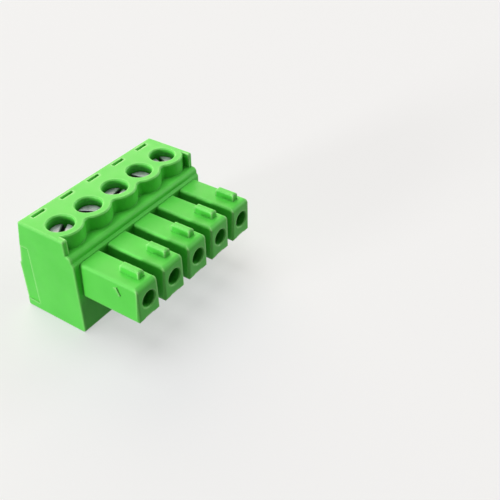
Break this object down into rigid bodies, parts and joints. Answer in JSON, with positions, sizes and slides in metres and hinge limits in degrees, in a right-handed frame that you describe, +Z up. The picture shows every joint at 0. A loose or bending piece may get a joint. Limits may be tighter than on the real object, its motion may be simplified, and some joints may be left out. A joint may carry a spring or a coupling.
{
  "type": "pluggable screw terminal plug",
  "caption": "Pluggable screw terminal plug: a moulded housing with a row of noses that push onto pins, and rising-cage clamps worked by slotted screws from the top.",
  "frame": {"origin": "middle of the base: the centre of the bounding box's bottom face", "axes": "+X along the row of ways, -Y out of the noses towards the mating pins, +Z up towards the screw heads"},
  "size_m": [0.0196, 0.0152, 0.0111],
  "materials": {
    "housing_plastic": "moulded green polyamide, satin",
    "screw_plating": "zinc-plated steel, bright",
    "cage_plating": "nickel-plated steel, satin",
    "contact_plating": "tin-plated copper alloy, satin"
  },
  "bodies": {
    "housing": {"housing": "housing_plastic", "contact_1": "contact_plating", "contact_2": "contact_plating", "contact_3": "contact_plating", "contact_4": "contact_plating", "contact_5": "contact_plating"},
    "screw_1": {"screw_1": "screw_plating"},
    "screw_2": {"screw_2": "screw_plating"},
    "screw_3": {"screw_3": "screw_plating"},
    "screw_4": {"screw_4": "screw_plating"},
    "screw_5": {"screw_5": "screw_plating"},
    "cage_1": {"cage_1": "cage_plating"},
    "cage_2": {"cage_2": "cage_plating"},
    "cage_3": {"cage_3": "cage_plating"},
    "cage_4": {"cage_4": "cage_plating"},
    "cage_5": {"cage_5": "cage_plating"}
  },
  "joints": [
    {"name": "screw_1_turn", "type": "hinge", "parent": "housing", "child": "screw_1", "pos_m": [-0.00762, 0.00275, 0.00955], "axis": [0, 0, -1], "range_deg": [0, 1800]},
    {"name": "cage_1_lift", "type": "slide", "parent": "housing", "child": "cage_1", "axis": [0, 0, 1], "range_m": [0, 0.002]},
    {"name": "screw_2_turn", "type": "hinge", "parent": "housing", "child": "screw_2", "pos_m": [-0.00381, 0.00275, 0.00955], "axis": [0, 0, -1], "range_deg": [0, 1800]},
    {"name": "cage_2_lift", "type": "slide", "parent": "housing", "child": "cage_2", "axis": [0, 0, 1], "range_m": [0, 0.002]},
    {"name": "screw_3_turn", "type": "hinge", "parent": "housing", "child": "screw_3", "pos_m": [0, 0.00275, 0.00955], "axis": [0, 0, -1], "range_deg": [0, 1800]},
    {"name": "cage_3_lift", "type": "slide", "parent": "housing", "child": "cage_3", "axis": [0, 0, 1], "range_m": [0, 0.002]},
    {"name": "screw_4_turn", "type": "hinge", "parent": "housing", "child": "screw_4", "pos_m": [0.00381, 0.00275, 0.00955], "axis": [0, 0, -1], "range_deg": [0, 1800]},
    {"name": "cage_4_lift", "type": "slide", "parent": "housing", "child": "cage_4", "axis": [0, 0, 1], "range_m": [0, 0.002]},
    {"name": "screw_5_turn", "type": "hinge", "parent": "housing", "child": "screw_5", "pos_m": [0.00762, 0.00275, 0.00955], "axis": [0, 0, -1], "range_deg": [0, 1800]},
    {"name": "cage_5_lift", "type": "slide", "parent": "housing", "child": "cage_5", "axis": [0, 0, 1], "range_m": [0, 0.002]}
  ],
  "couplings": [
    {"joint": "screw_1_turn", "follows": "cage_1_lift", "rad_per_m": 15708},
    {"joint": "screw_2_turn", "follows": "cage_2_lift", "rad_per_m": 15708},
    {"joint": "screw_3_turn", "follows": "cage_3_lift", "rad_per_m": 15708},
    {"joint": "screw_4_turn", "follows": "cage_4_lift", "rad_per_m": 15708},
    {"joint": "screw_5_turn", "follows": "cage_5_lift", "rad_per_m": 15708}
  ]
}
